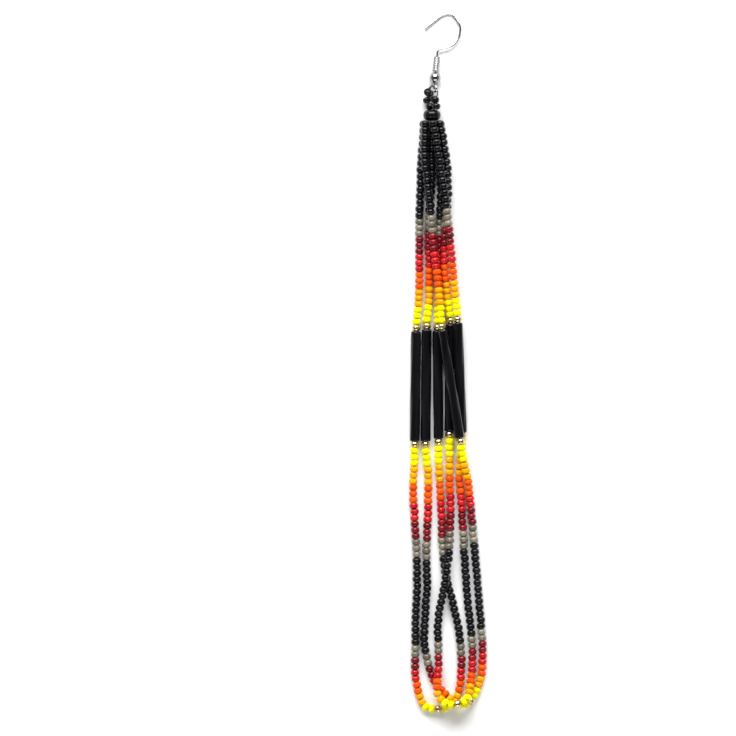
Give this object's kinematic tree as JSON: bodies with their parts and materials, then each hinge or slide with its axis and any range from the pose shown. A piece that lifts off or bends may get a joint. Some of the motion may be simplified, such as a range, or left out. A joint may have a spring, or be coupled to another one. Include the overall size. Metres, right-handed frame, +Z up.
{
  "type": "beaded fringe earring",
  "caption": "Long beaded fringe earring: French ear wire with coil and ball, collector bead, and strands of seed beads and bugles that end in loops.",
  "frame": {"origin": "on the surface that the earring lies on, under the middle of its box", "axes": "+Y along the earring towards the ear wire, +X to the right seen from above, +Z up from the surface"},
  "size_m": [0.0214, 0.191, 0.0071],
  "materials": {
    "silver_plate": "bright plate",
    "gold_plate": "polished plate",
    "black_glass": "glossy opaque",
    "bugle_glass": "glossy opaque",
    "seed_glass": "glossy opaque, in black, gray, dark red, red, orange, amber and yellow",
    "black_thread": "waxed thread"
  },
  "bodies": {
    "root": {"ear_hook": "silver_plate", "ear_coil": "silver_plate", "ear_ball": "silver_plate", "thread_loop": "black_thread", "collector_bead": "black_glass", "top_bead_1": "black_glass", "top_bead_2": "black_glass", "top_bead_3": "black_glass", "top_bead_4": "black_glass", "top_bead_5": "black_glass", "top_bead_6": "black_glass", "upper_string_1": "seed_glass", "upper_gold_1": "gold_plate", "bugle_1": "bugle_glass", "lower_gold_1": "gold_plate", "core_thread_1": "black_thread", "lower_string_1": "seed_glass", "upper_string_2": "seed_glass", "upper_gold_2": "gold_plate", "bugle_2": "bugle_glass", "lower_gold_2": "gold_plate", "core_thread_2": "black_thread", "lower_string_2": "seed_glass", "upper_string_3": "seed_glass", "upper_gold_3": "gold_plate", "bugle_3": "bugle_glass", "lower_gold_3": "gold_plate", "core_thread_3": "black_thread", "lower_string_3": "seed_glass", "upper_string_4": "seed_glass", "upper_gold_4": "gold_plate", "bugle_4": "bugle_glass", "lower_gold_4": "gold_plate", "core_thread_4": "black_thread", "lower_string_4": "seed_glass", "upper_string_5": "seed_glass", "upper_gold_5": "gold_plate", "bugle_5": "bugle_glass", "lower_gold_5": "gold_plate", "core_thread_5": "black_thread", "lower_string_5": "seed_glass", "upper_string_6": "seed_glass", "upper_gold_6": "gold_plate", "bugle_6": "bugle_glass", "lower_gold_6": "gold_plate", "core_thread_6": "black_thread", "lower_string_6": "seed_glass", "loop_gold_1": "gold_plate", "loop_thread_1": "black_thread", "loop_gold_2": "gold_plate", "loop_thread_2": "black_thread", "loop_gold_3": "gold_plate", "loop_thread_3": "black_thread"}
  },
  "joints": []
}
